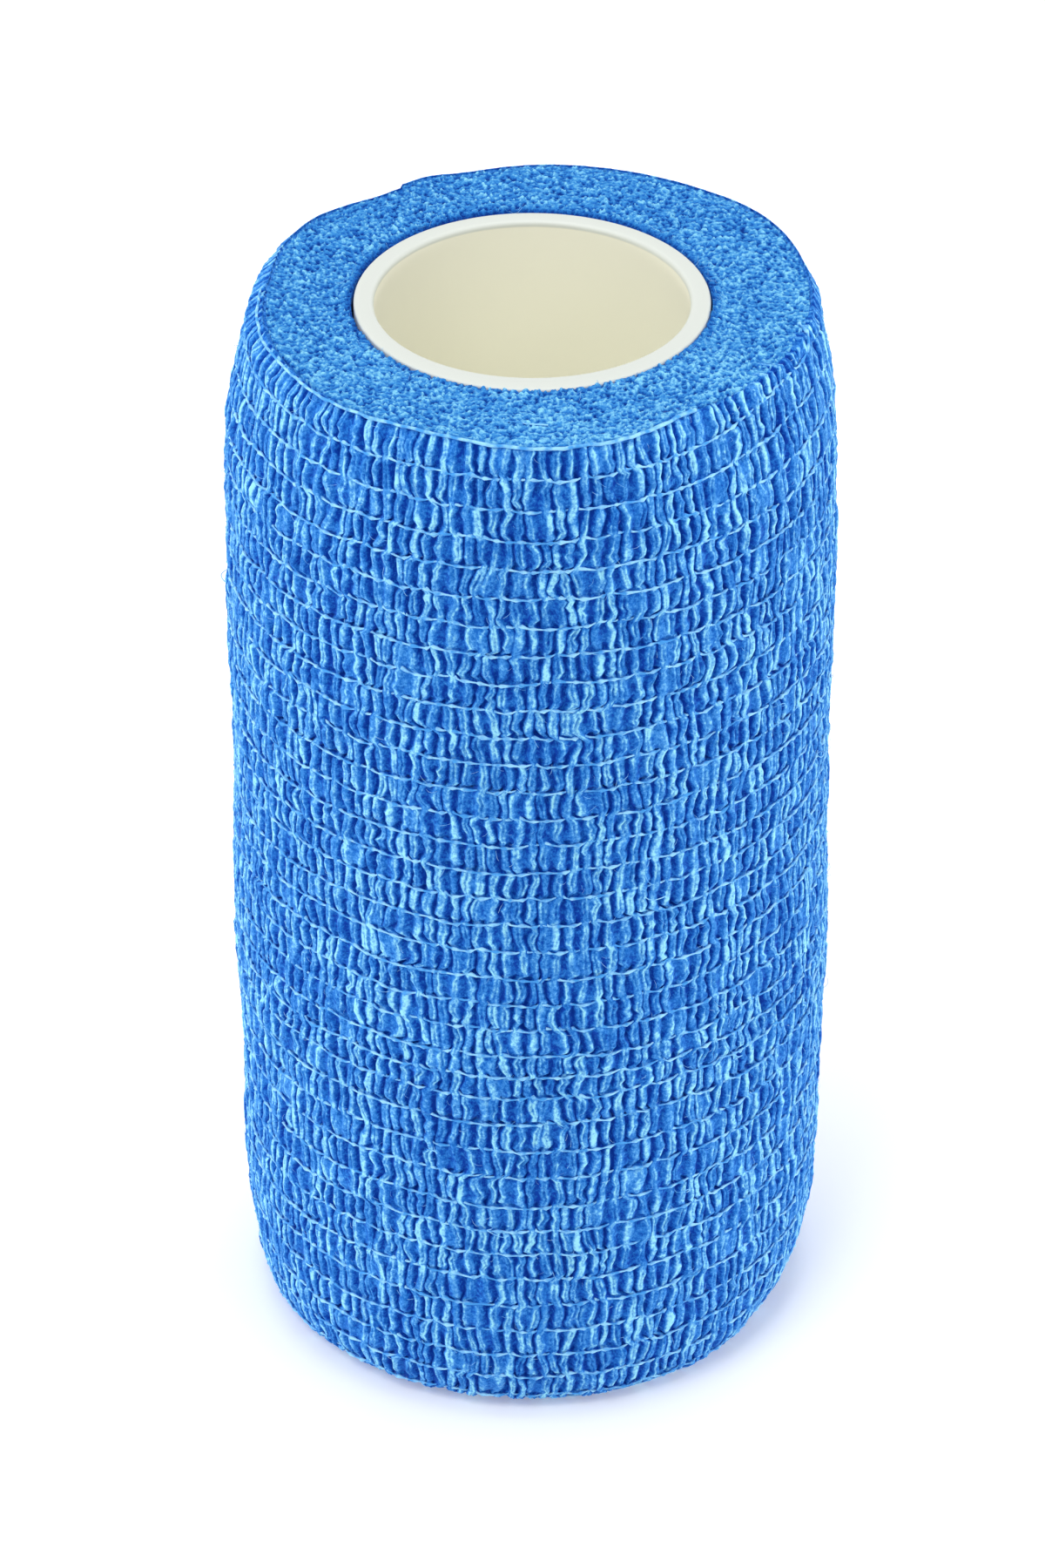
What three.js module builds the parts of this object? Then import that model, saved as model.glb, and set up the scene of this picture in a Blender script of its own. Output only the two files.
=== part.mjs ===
// Cohesive bandage roll: an elastic nonwoven web, wound in turns on a plastic core.
// Millimetres, +Z up. The roll stands on one end, and the origin is the middle of that end.
import * as THREE from "three";

const webWidth = 100; // the cut width of the web, which is the roll's height
const rollRadius = 26.2; // over the ribs, at half height
const coreRadius = 15;
const coreWall = 1.7;
const coreChamfer = 0.35; // on both edges of each end of the core
const coreSides = 64;
const coreGap = 0.3; // between the core and the first turn
const ribCount = 37; // the web swells in a rib between each two of its 38 elastic threads
const ribRise = 0.4; // how far a rib stands out over its threads
const turnThickness = 0.65; // of one turn of the crinkled web, as wound
const freeEndAngle = 120; // where the outer turn ends, in degrees from +X towards +Y
const freeEndStep = 2; // degrees over which the surface drops from that turn to the one below
const webColumns = 60; // steps round the roll
const puckerDepth = 0.16; // the most that the crinkled cloth stands in or out
const topFade = 12; // how far down from the top the outline of the end still shows
const footFade = 10;

// The side is a slight barrel: drawnIn is how far it stands inside rollRadius.
const barrel = [
  { height: 0, drawnIn: 2.0 },
  { height: 2.7, drawnIn: 1.4 },
  { height: 5.4, drawnIn: 0.95 },
  { height: 10.8, drawnIn: 0.45 },
  { height: 16, drawnIn: 0.15 },
  { height: 22, drawnIn: 0.25 },
  { height: 36, drawnIn: -0.15 },
  { height: 57, drawnIn: 0.15 },
  { height: 67, drawnIn: -0.05 },
  { height: 86, drawnIn: 0.2 },
  { height: 92, drawnIn: 0.5 },
  { height: 95, drawnIn: 0.85 },
  { height: 97.5, drawnIn: 1.4 },
  { height: 100, drawnIn: 2.15 },
];

// The top edge isn't round: out is how far the web's edge stands past its mean radius there.
const topOutline = [
  { angle: 0, out: 0 },
  { angle: 15, out: 0.1 },
  { angle: 30, out: 0.7 },
  { angle: 45, out: 0.9 },
  { angle: 60, out: 0.6 },
  { angle: 90, out: 0.3 },
  { angle: 105, out: -0.5 },
  { angle: 114, out: -0.3 },
  { angle: 125, out: -1.1 },
  { angle: 135, out: -0.6 },
  { angle: 146, out: -0.3 },
  { angle: 180, out: -0.7 },
  { angle: 210, out: -0.7 },
  { angle: 226, out: -0.4 },
  { angle: 250, out: -0.8 },
  { angle: 264, out: 0.1 },
  { angle: 274, out: 0.4 },
  { angle: 288, out: 0 },
  { angle: 303, out: -1.5 },
  { angle: 318, out: -1.1 },
  { angle: 345, out: -0.5 },
  { angle: 360, out: 0 },
];

// The same at the foot.
const footOutline = [
  { angle: 0, out: -0.5 },
  { angle: 60, out: 0.1 },
  { angle: 150, out: -0.2 },
  { angle: 225, out: 0.1 },
  { angle: 268, out: 0.2 },
  { angle: 315, out: -0.1 },
  { angle: 335, out: -0.7 },
  { angle: 360, out: -0.5 },
];

// Soft hollows in the wound side. A negative depth is a swelling.
const hollows = [
  { angle: 182, height: 22, spread: 8, depth: 0.3 },
  { angle: 178, height: 57, spread: 6, depth: 0.2 },
  { angle: 355, height: 54, spread: 8, depth: 0.15 },
  { angle: 270, height: 39, spread: 14, depth: -0.2 },
  { angle: 60, height: 30, spread: 12, depth: 0.3 },
  { angle: 100, height: 72, spread: 12, depth: -0.2 },
];

// Threads that run off their even spacing, counted down from the top edge.
const strayThreads = [
  { thread: 22, raised: 0 },
  { thread: 23, raised: 0.5 },
  { thread: 24, raised: 1.0 },
  { thread: 25, raised: 0.95 },
  { thread: 26, raised: 0.65 },
  { thread: 27, raised: 0.4 },
  { thread: 28, raised: 0 },
];

// The top end face from its rim to the core: share of the way in, and how far the turns lie below the edge.
const endFaceRings = [
  { inwards: 0.12, sunk: 0.05 },
  { inwards: 0.3, sunk: 0.35 },
  { inwards: 0.48, sunk: 0.1 },
  { inwards: 0.66, sunk: 0.4 },
  { inwards: 0.84, sunk: 0.15 },
  { inwards: 1, sunk: 0.1 },
];

// A table's value at a height, angle or thread, straight between its rows.
function lookUp(table, key, value, at) {
  const next = table.findIndex((row) => row[key] >= at);
  if (next === 0) return table[0][value];
  if (next === -1) return table.at(-1)[value];
  const low = table[next - 1];
  const high = table[next];
  return THREE.MathUtils.mapLinear(at, low[key], high[key], low[value], high[value]);
}

// From -1 to 1, always the same for the same column and row.
function crinkle(column, row) {
  const mixed = Math.sin(column * 12.9898 + row * 78.233) * 43758.5453;
  return 2 * (mixed - Math.floor(mixed)) - 1;
}

function threadHeight(thread) {
  return webWidth * (1 - thread / ribCount) + lookUp(strayThreads, "thread", "raised", thread);
}

// The last turn grows outwards all the way round, then drops by one thickness at the free end.
function turnGrowth(angle) {
  const past = THREE.MathUtils.euclideanModulo(angle - freeEndAngle, 360);
  return turnThickness * (past / (360 - freeEndStep) - 0.5);
}

function hollowDepth(angle, height) {
  return hollows.reduce((sum, hollow) => {
    const turned = THREE.MathUtils.euclideanModulo(angle - hollow.angle + 180, 360) - 180;
    const along = THREE.MathUtils.degToRad(turned) * rollRadius;
    const away = Math.hypot(along, height - hollow.height) / hollow.spread;
    return sum + hollow.depth * Math.exp(-away * away);
  }, 0);
}

// The radius of the wound side over its ribs.
function sideRadius(angle, height) {
  const nearTop = THREE.MathUtils.smoothstep(height, webWidth - topFade, webWidth);
  const nearFoot = 1 - THREE.MathUtils.smoothstep(height, 0, footFade);
  return (
    rollRadius -
    lookUp(barrel, "height", "drawnIn", height) +
    turnGrowth(angle) +
    nearTop * lookUp(topOutline, "angle", "out", angle) +
    nearFoot * lookUp(footOutline, "angle", "out", angle) -
    hollowDepth(angle, height)
  );
}

// The wall of the roll cut at one angle, as points once round: foot, side, end face, bore.
function webSection(angle, column) {
  const boreRadius = coreRadius + coreGap;
  const footRadius = sideRadius(angle, 0);
  const rimRadius = sideRadius(angle, webWidth);
  const points = [
    { radius: boreRadius, height: 0 },
    { radius: (boreRadius + footRadius) / 2, height: 0 },
    { radius: footRadius, height: 0 },
  ];
  for (let rib = ribCount; rib > 0; rib--) {
    const below = threadHeight(rib);
    const above = threadHeight(rib - 1);
    const middle = (below + above) / 2;
    const pucker = puckerDepth * crinkle(column, rib);
    points.push({ radius: sideRadius(angle, middle) + pucker, height: middle });
    if (rib > 1) points.push({ radius: sideRadius(angle, above) - ribRise, height: above });
  }
  points.push({ radius: rimRadius - ribRise, height: webWidth });
  endFaceRings.forEach((ring, index) => {
    points.push({
      radius: THREE.MathUtils.lerp(rimRadius - ribRise, boreRadius, ring.inwards),
      height: webWidth - ring.sunk + 0.5 * puckerDepth * crinkle(column, -index),
    });
  });
  return points;
}

// Even steps round the roll, but for the last one: that narrow step is the free end.
function columnAngle(column) {
  const even = (360 - freeEndStep) / (webColumns - 1);
  return THREE.MathUtils.euclideanModulo(freeEndAngle + column * even, 360);
}

function woundWeb() {
  const sections = Array.from({ length: webColumns }, (_, column) => {
    const angle = columnAngle(column);
    return { angle, points: webSection(angle, column) };
  });
  const rows = sections[0].points.length;
  const positions = sections.flatMap(({ angle, points }) => {
    const turn = THREE.MathUtils.degToRad(angle);
    return points.flatMap(({ radius, height }) => [radius * Math.cos(turn), radius * Math.sin(turn), height]);
  });
  const faces = [];
  for (let column = 0; column < webColumns; column++) {
    const beside = (column + 1) % webColumns;
    for (let row = 0; row < rows; row++) {
      const over = (row + 1) % rows;
      const [a, b] = [column * rows + row, column * rows + over];
      const [c, d] = [beside * rows + row, beside * rows + over];
      faces.push(a, c, b, c, d, b);
    }
  }
  const geometry = new THREE.BufferGeometry();
  geometry.setAttribute("position", new THREE.Float32BufferAttribute(positions, 3));
  geometry.setIndex(faces);
  geometry.computeVertexNormals();
  return geometry;
}

// A plain round tube with its end edges chamfered, turned about the roll's axis.
function coreTube() {
  const inside = coreRadius - coreWall;
  const profile = [
    [inside, coreChamfer],
    [inside + coreChamfer, 0],
    [coreRadius - coreChamfer, 0],
    [coreRadius, coreChamfer],
    [coreRadius, webWidth - coreChamfer],
    [coreRadius - coreChamfer, webWidth],
    [inside + coreChamfer, webWidth],
    [inside, webWidth - coreChamfer],
    [inside, coreChamfer],
  ].map(([radius, height]) => new THREE.Vector2(radius, height));
  return new THREE.LatheGeometry(profile, coreSides).rotateX(Math.PI / 2);
}

const cloth = new THREE.MeshStandardMaterial({ color: 0x2f80d8, roughness: 0.9, metalness: 0 });
const plastic = new THREE.MeshStandardMaterial({ color: 0xe9ebe2, roughness: 0.45, metalness: 0 });

const bandage = new THREE.Mesh(woundWeb(), cloth);
bandage.name = "bandage";

const core = new THREE.Mesh(coreTube(), plastic);
core.name = "core";

const roll = new THREE.Group();
roll.add(bandage, core);

export default roll;
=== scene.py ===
import math

import bpy
import numpy as np
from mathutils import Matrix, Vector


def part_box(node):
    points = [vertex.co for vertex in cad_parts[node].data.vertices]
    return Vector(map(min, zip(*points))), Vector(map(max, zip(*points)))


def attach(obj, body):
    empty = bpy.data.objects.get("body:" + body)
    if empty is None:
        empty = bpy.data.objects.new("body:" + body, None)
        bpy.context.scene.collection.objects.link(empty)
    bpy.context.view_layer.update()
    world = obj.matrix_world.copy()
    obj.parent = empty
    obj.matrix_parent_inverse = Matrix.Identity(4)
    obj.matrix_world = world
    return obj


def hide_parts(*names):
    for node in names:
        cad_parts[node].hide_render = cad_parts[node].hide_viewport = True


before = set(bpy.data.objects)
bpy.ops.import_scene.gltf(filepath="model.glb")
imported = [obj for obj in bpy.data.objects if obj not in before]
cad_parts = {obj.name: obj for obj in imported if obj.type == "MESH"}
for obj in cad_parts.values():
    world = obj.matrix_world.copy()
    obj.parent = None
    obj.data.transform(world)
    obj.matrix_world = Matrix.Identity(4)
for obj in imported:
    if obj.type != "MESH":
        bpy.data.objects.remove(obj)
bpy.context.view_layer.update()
mm = 0.001

# The web is wound once round for every turn. Angles are counted from its free end, in degrees.
web = {
    "freeEnd": 120.0,  # where the outer turn ends, from +X towards +Y
    "overlap": 359.5,  # how far round the outer turn is seen before it dips under its own end
    "thinEnd": (0.04, 0.1, 0.18, 0.3),  # mm that it thins out over the last degrees before its end
    "ribRise": 0.4,  # mm that the bands stand over the threads in the solid
    "wallDepth": 1.5,  # mm from the crests to the hidden inside
    "uneven": (0.09, 0.05, 0.025),  # mm: over some ridges, over one ridge and from point to point
    "mottled": (0.34, 0.12),  # how unevenly pale it is: over one ridge and from point to point
    "sway": (0.16, 0.06),  # mm that a band wanders up and down, slowly and quickly
    "settled": (0.0, 0.95, 0.85, 0.8, 0.55, 0.3, 0.0),  # mm that each thread from the foot up has slid down
    "pulled": (188.0, 210.0, 226.0, 250.0),  # where the top thread is pulled up: starts, full, full, ends
    "pull": 1.4,  # mm
    "plainEdge": (52.0, 232.0),  # beyond these angles the crinkles end flat at the top edge
    "rolled": (192.0, 245.0),  # between these they roll over it
    "reach": (0.4, 1.3, 0.7),  # mm that the web turns inwards there: everywhere, where rolled, and unevenly
    "seed": 7,
}

# How far the soft web stands out from the solid, in mm, by degrees from +X towards +Y.
swell = {
    "side": (0.07, -0.28),  # the same all round, and more towards +X
    "foot": (
        (0, 30, 120, 180, 200, 210, 225, 245, 260, 275, 300, 320, 340),
        (-1.5, -1.0, -1.0, -0.2, -0.7, -1.0, -1.4, -1.75, -1.95, -1.55, -1.4, -1.5, -2.1),
    ),
    "footShares": (1.25, 0.45),  # how much of it reaches the lower edge and the first rib
    "rim": (
        (0, 20, 37, 50, 75, 90, 105, 115, 129, 133, 137, 142, 156, 169, 200, 320),
        (
            -0.35, -0.3, -0.3, -0.7, -0.75, -0.85, -0.85, -0.35,
            -0.3, -0.15, 0.0, 0.2, -0.05, -0.55, -0.1, -0.1,
        ),
    ),
    "rimShares": (0.5, 1.0),  # the last rib and the upper edge
}


def linear(code):  # an sRGB hex colour as linear RGBA
    parts = [int(code[i : i + 2], 16) / 255 for i in (1, 3, 5)]
    return tuple(p / 12.92 if p <= 0.04045 else ((p + 0.055) / 1.055) ** 2.4 for p in parts) + (1.0,)


def nodePoints(name):  # the corners of a CAD node, in mm
    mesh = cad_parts[name].data
    flat = np.empty(len(mesh.vertices) * 3, np.float32)
    mesh.vertices.foreach_get("co", flat)
    return np.unique(np.round(flat.reshape(-1, 3) / mm, 3), axis=0)


def smooth(values, width, axis):  # a running mean that keeps the ends in place
    half = width // 2
    padded = np.pad(values, [(half, half) if a == axis else (0, 0) for a in range(values.ndim)], "edge")
    total = sum(np.take(padded, np.arange(i, i + values.shape[axis]), axis) for i in range(width))
    return total / width


class WoundForm:
    # The shape that the frame gives the roll: its radius over the ribs, and where its threads run.
    def __init__(self, points):
        radius = np.hypot(points[:, 0], points[:, 1])
        turned = (np.degrees(np.arctan2(points[:, 1], points[:, 0])) - web["freeEnd"]) % 360
        turned[turned > 359.9] = 0
        self.height = points[:, 2].max().round()
        side = (radius > 0.86 * radius.max()) & (points[:, 2] < self.height - 0.2)
        heights = np.unique(np.round(points[side, 2], 2))  # of threads and ribs by turns
        self.threads = np.append(heights[::2], self.height)
        self.turned = np.linspace(0, 358, 180)
        ribs = [self.row(turned, radius, side & (abs(points[:, 2] - h) < 0.01)) for h in heights[1::2]]
        ribs = smooth(smooth(np.array(ribs), 9, 1), 3, 0)
        foot = self.row(turned, radius, side & (points[:, 2] < 0.01))
        rim = self.rimRow(turned, radius, points[:, 2]) + web["ribRise"]
        self.heights = np.concatenate([[0.0], heights[1::2], [self.height]])
        self.radii = np.vstack([smooth(foot, 3, 0), ribs, smooth(rim, 3, 0)])
        self.radii[:, -4:] -= web["thinEnd"]
        self.soften(self.turned + web["freeEnd"])
        self.bore = radius.min()

    def soften(self, angle):
        self.radii[1:-1] += swell["side"][0] + swell["side"][1] * np.cos(np.radians(angle))
        foot, rim = (np.interp(angle, *swell[edge], period=360) for edge in ("foot", "rim"))
        self.radii[:2] += np.outer(swell["footShares"], foot)
        self.radii[-2:] += np.outer(swell["rimShares"], rim)

    def row(self, turned, radius, chosen):
        order = np.argsort(turned[chosen])
        return np.interp(self.turned, turned[chosen][order], radius[chosen][order])

    def rimRow(self, turned, radius, heights):
        top = abs(heights - self.height) < 0.2
        angles = np.unique(np.round(turned[top], 1))
        edge = [radius[top & (abs(turned - a) < 0.2)].max() for a in angles]
        return np.interp(self.turned, angles, edge)

    def radiusAt(self, turned, height):
        low = np.clip(np.searchsorted(self.heights, height) - 1, 0, len(self.heights) - 2)
        share = (height - self.heights[low]) / (self.heights[low + 1] - self.heights[low])
        place = np.clip(turned / 2, 0, len(self.turned) - 1.001)
        left = place.astype(int)
        across = place - left
        lower = self.radii[low, left] * (1 - across) + self.radii[low, left + 1] * across
        upper = self.radii[low + 1, left] * (1 - across) + self.radii[low + 1, left + 1] * across
        return lower * (1 - share) + upper * share


class Patchwork:
    # Smooth noise from -1 to 1 over a grid of random values.
    def __init__(self, rng, shape):
        self.values = rng.uniform(-1, 1, shape)

    def cell(self, row, column):
        rows, columns = self.values.shape
        return self.values[row % rows, column % columns]

    def at(self, x, y):
        x, y = np.broadcast_arrays(x, y)
        left, low = np.floor(x).astype(int), np.floor(y).astype(int)
        u, v = x - left, y - low
        u, v = u * u * (3 - 2 * u), v * v * (3 - 2 * v)
        lower = self.cell(left, low) * (1 - u) + self.cell(left + 1, low) * u
        upper = self.cell(left, low + 1) * (1 - u) + self.cell(left + 1, low + 1) * u
        return lower * (1 - v) + upper * v


def addObject(name, data):
    piece = bpy.data.objects.new(name, data)
    bpy.context.scene.collection.objects.link(piece)
    return piece


def gridObject(name, points, closedRows=True, attributes=None):
    # A mesh from points in mm, shaped rows x columns x 3, whose rows run up and columns run round.
    rows, columns = points.shape[:2]
    index = np.arange(rows * columns).reshape(rows, columns)
    if closedRows:
        index = np.vstack([index, index[:1]])
    index = np.hstack([index, index[:, :1]])
    quads = np.stack([index[:-1, :-1], index[:-1, 1:], index[1:, 1:], index[1:, :-1]], -1).reshape(-1, 4)
    mesh = bpy.data.meshes.new(name)
    mesh.vertices.add(rows * columns)
    mesh.vertices.foreach_set("co", (points * mm).astype(np.float32).ravel())
    mesh.loops.add(quads.size)
    mesh.loops.foreach_set("vertex_index", quads.astype(np.int32).ravel())
    mesh.polygons.add(len(quads))
    mesh.polygons.foreach_set("loop_start", np.arange(0, quads.size, 4, dtype=np.int32))
    mesh.polygons.foreach_set("use_smooth", np.ones(len(quads), bool))
    for label, values in (attributes or {}).items():
        layer = mesh.attributes.new(label, "FLOAT", "POINT")
        layer.data.foreach_set("value", values.astype(np.float32).ravel())
    mesh.update(calc_edges=True)
    return addObject(name, mesh)


def polar(turned, radius, height):  # points in mm from angles past the free end
    angle = np.radians(turned + web["freeEnd"])
    return np.stack([radius * np.cos(angle), radius * np.sin(angle), height], -1)


form = WoundForm(nodePoints("bandage"))
print(f"form: {len(form.threads)} threads, bore {form.bore:.2f} mm, height {form.height:.1f} mm")

# The crinkles of the outer turn. Every band between two threads holds its own row of round ridges. Most are
# parted by deep folds, some by a puff. Shades run from 0, the deepest blue, to 1, the palest: painted shade
# in the folds and hollows and painted highlight on the crests, over the web's own uneven tone.
crinkle = {
    "number": 147,  # ridges in each band
    "spacing": (0.17, 0.1),  # how unevenly they are spaced: each by itself, and along with the band below
    "half": (0.24, 0.39),  # half the width of a ridge, as a share of the way to the next one
    "taper": 0.7,  # how much wider a ridge may be at one end
    "bulge": (-0.35, 0.45),  # and in its middle
    "lean": 0.22,  # how far a ridge leans in its band, as a share of the way to the next one
    "bow": 0.1,  # how far it bows
    "wander": (0.065, 0.17),  # how far its line wanders, from point to point and along its length
    "lift": 0.06,  # mm, uneven ridges
    "dented": 0.75,  # share of the ridges with a hollow crest
    "dent": (0.1, 0.24),  # mm
    # painted highlight on the crests, stronger or weaker from ridge to ridge
    "crestShade": (0.48, 1.06),
    "puffs": 0.09,  # share of the folds that are puffed out
    "puffDepth": (0.04, 0.2),  # mm from the ridges to the hollow of a puff
    # painted shade in the hollow of a puff
    "puffShade": (0.26, 0.44),
    "foldDepth": (0.42, 0.72),  # mm from the ridges to the bottom of a fold
    # painted shade at the bottom of a fold
    "foldShade": (-0.14, 0.02),
    "tilt": 0.7,  # how much deeper a fold may be at one end
    "covers": 0.44,  # share of the ridges that cross over a thread
    "overThread": (0.0, 0.08),  # mm that those dip at the thread
    "underThread": (0.24, 0.36),  # mm that the others do
    "pressed": 0.38,  # mm that the folds lie below a thread
}

# Where the rows of one band lie, as shares of the way from its lower thread to its upper one.
bandRows = (0.0, 0.13, 0.31, 0.5, 0.69, 0.87)
perBand = len(bandRows)
perRidge = 8


class Ridges:
    # The size, place and shade of every ridge and of the fold after it.
    def __init__(self):
        rng = np.random.default_rng(web["seed"])
        bands, count = len(form.threads) - 1, crinkle["number"]
        shape = (bands, count)
        alone, along = crinkle["spacing"]
        widths = np.exp(alone * rng.normal(0, 1, shape) + along * self.drifting(rng, shape, 0.6))
        ends = np.cumsum(widths, 1) * count / widths.sum(1, keepdims=True)
        starts = np.hstack([np.zeros((bands, 1)), ends[:, :-1]])
        drift = starts - np.arange(count)
        self.place = starts - smooth(drift, 15, 1) * 0.9 + 0.3
        self.lean = rng.normal(0, crinkle["lean"], shape)
        self.bow = rng.normal(0, crinkle["bow"], shape)
        self.half = rng.uniform(*crinkle["half"], shape)
        self.taper = rng.uniform(-crinkle["taper"], crinkle["taper"], shape)
        self.bulge = rng.uniform(*crinkle["bulge"], shape)
        self.lift = rng.normal(0, crinkle["lift"], shape)
        puff = rng.random(shape) < crinkle["puffs"]
        self.depth = self.puffOrFold(rng, puff, "Depth")
        self.shade = self.puffOrFold(rng, puff, "Shade")
        self.tilt = rng.uniform(-crinkle["tilt"], crinkle["tilt"], shape)
        self.dent = rng.uniform(*crinkle["dent"], shape) * (rng.random(shape) < crinkle["dented"]) - 0.03
        # Painted highlight on the crests, drawn separately for each side of a ridge.
        self.leftShade = rng.uniform(*crinkle["crestShade"], shape)
        self.rightShade = rng.uniform(*crinkle["crestShade"], shape)
        covers = rng.random((bands + 1, count)) < crinkle["covers"]
        over = rng.uniform(*crinkle["overThread"], covers.shape)
        self.sink = np.where(covers, over, rng.uniform(*crinkle["underThread"], covers.shape))

    def puffOrFold(self, rng, puff, measure):
        puffed = rng.uniform(*crinkle["puff" + measure], puff.shape)
        return np.where(puff, puffed, rng.uniform(*crinkle["fold" + measure], puff.shape))

    def drifting(self, rng, shape, hold):  # each band's values stay near those of the band below
        values = rng.normal(0, 1, shape)
        for band in range(1, shape[0]):
            values[band] = hold * values[band - 1] + math.sqrt(1 - hold * hold) * values[band]
        return values

    def inBand(self, band, share):
        middle = 4 * share * (1 - share)  # 1 halfway between the threads
        fall = abs(2 * share - 1) ** 3  # 1 at the threads
        sink = (self.sink[band] * (1 - share) + self.sink[band + 1] * share) * fall
        half = self.half[band] * (1 + self.taper[band] * (share - 0.5))
        return {
            "place": self.place[band] + self.lean[band] * (share - 0.5) + self.bow[band] * (middle - 0.5),
            "half": half * (1 + self.bulge[band] * (middle - 0.5)),
            "crest": self.lift[band] - sink,
            "dent": self.dent[band] * middle,
            "depth": self.depth[band] * (0.7 + 0.3 * middle) * (1 + self.tilt[band] * (share - 0.5)),
            "shade": self.shade[band],
            # Painted shade: a crest is darker where it dips at a thread.
            "left": self.leftShade[band] * (1 - 0.6 * sink),
            "right": self.rightShade[band] * (1 - 0.6 * sink),
            "press": np.full(crinkle["number"], crinkle["pressed"] * fall),
        }

    def row(self, place):  # place counts bands up from the foot, so whole numbers are threads
        top = len(form.threads) - 1
        band = min(int(place + 1e-6), top - 1)
        here = self.inBand(band, min(place - band, 1.0))
        if abs(place - round(place)) < 1e-6 and 0 < round(place) < top:
            below = self.inBand(band - 1, 1.0)
            here = {key: (here[key] + below[key]) / 2 for key in here}
        return here


ridges = Ridges()


def ridgeCentres(row, place, rng, sway):
    # Where the ridges cross this row, counted in ridges. None comes too near the next one.
    count = crinkle["number"]
    jitter, wander = crinkle["wander"]
    centre = row["place"] + rng.normal(0, jitter, count)
    centre = centre + wander * sway.at(place / 0.36, np.arange(count) / 1.2)
    centre = np.clip(np.sort(centre), 0.2, count - 0.3)
    for _ in range(3):
        close = np.clip(0.5 - np.diff(centre), 0, None) / 2
        centre = centre + np.append(0, close) - np.append(close, 0)
    return centre


def ridgeRow(place, rng, sway):
    # One row of points across all the ridges, eight to each: how far round, how high and how pale they are.
    row = ridges.row(place)
    count = crinkle["number"]
    centre = ridgeCentres(row, place, rng, sway)
    after = np.diff(centre, append=count)
    before = np.append(centre[0], np.diff(centre))
    half = np.clip(row["half"] * rng.uniform(0.88, 1.12, count), 0.1, 0.43 * np.minimum(after, before))
    start = centre + half
    gap = np.append(centre[1:] - half[1:], count) - start
    across = np.stack([
        centre - half, centre - half / 2, centre, centre + half / 2, start,
        start + 0.25 * gap, start + gap * rng.uniform(0.42, 0.58, count), start + 0.75 * gap,
    ], -1)
    top, nextTop = row["crest"], np.roll(row["crest"], -1)
    dent = row["dent"] * np.clip((half - 0.18) / 0.14, 0, 1.4)  # a wide ridge is hollow
    wide = np.clip((gap - 0.5) / 0.35, 0, 1)  # and a wide fold is shallow
    depth = np.minimum(row["depth"], 1.4 * gap) * (1 - 0.5 * wide)
    high = np.stack([
        top - 0.28 * np.roll(depth, 1), top, top - dent, top, top - 0.28 * depth,
        top - 0.84 * depth, (top + nextTop) / 2 - depth, nextTop - 0.84 * depth,
    ], -1)
    high[:, 5:] = np.minimum(high[:, 5:], -row["press"][:, None])
    left, right = row["left"], row["right"]
    # Painted shade: a wide, shallow fold is paler than a narrow, deep one.
    shade = np.maximum(row["shade"], 0.24 * wide)
    # Painted highlight on the crests, painted shade in a hollow crest and down into the fold.
    pale = np.stack([
        0.4 * left + np.roll(shade, 1) / 2, left, (left + right) / 2 - 0.06 - 2.1 * dent, right,
        0.4 * right + shade / 2, shade + 0.03, shade, shade + 0.03,
    ], -1)
    return across.ravel(), high.ravel(), pale.ravel()


def bandHeights(spots, turned, sway, waves):
    # How high the points of each row lie, in mm. The bands wander, the lowest have slid down, and the top
    # thread is pulled up with all that is above it.
    bands = len(form.threads) - 1
    below = spots.astype(int)
    base = form.threads[below]
    heights = base + (form.threads[np.minimum(below + 1, bands)] - base) * (spots - below)
    heights = heights - np.interp(spots, np.arange(len(web["settled"])), web["settled"])
    ease = np.clip(np.minimum(spots, bands - spots) / 3, 0, 1)
    slow, quick = web["sway"]
    wander = slow * sway.at(spots / 2.2, turned / 9) + quick * waves.at(spots, turned / 2.5)
    heights = heights + ease * wander
    pulled = np.interp(turned, web["pulled"], (0, 1, 1, 0))
    under = bands - 1 - spots
    return heights + web["pull"] * pulled * np.where(under > 0, np.exp(-((under / 1.7) ** 2)), 1 + under)


def overTheEdge(turned, radius, heights, lift, pale, waves):
    # Five more rows that turn inwards over the top edge.
    steps = np.array([[0.2], [0.4], [0.6], [0.8], [1.0]])
    rim, angle, crest, shade = radius[-1], turned[-1], lift[-1], pale[-1]
    start, end = web["rolled"]
    rolled = np.clip((angle - start) / 18, 0, 1) * np.clip((end - angle) / 20, 0, 1)
    least, more, uneven = web["reach"]
    inwards = least + rolled * (more + uneven * waves.at(3.5, angle / 2.2))
    return (
        np.vstack([turned, np.tile(angle, (len(steps), 1))]),
        np.vstack([radius, rim - inwards * steps]),
        np.vstack([heights, np.full_like(rim, form.height) - 0.25 * steps * steps]),
        np.vstack([lift, crest * (1 - 0.3 * steps) - 0.1 * (1 - rolled) * steps]),
        # Over the edge the painted shade fades towards a middle tone: painted light that lightens the
        # shadowed seam.
        np.vstack([pale, shade + (0.45 - shade) * steps * (0.9 - 0.6 * rolled)]),
    )


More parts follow.
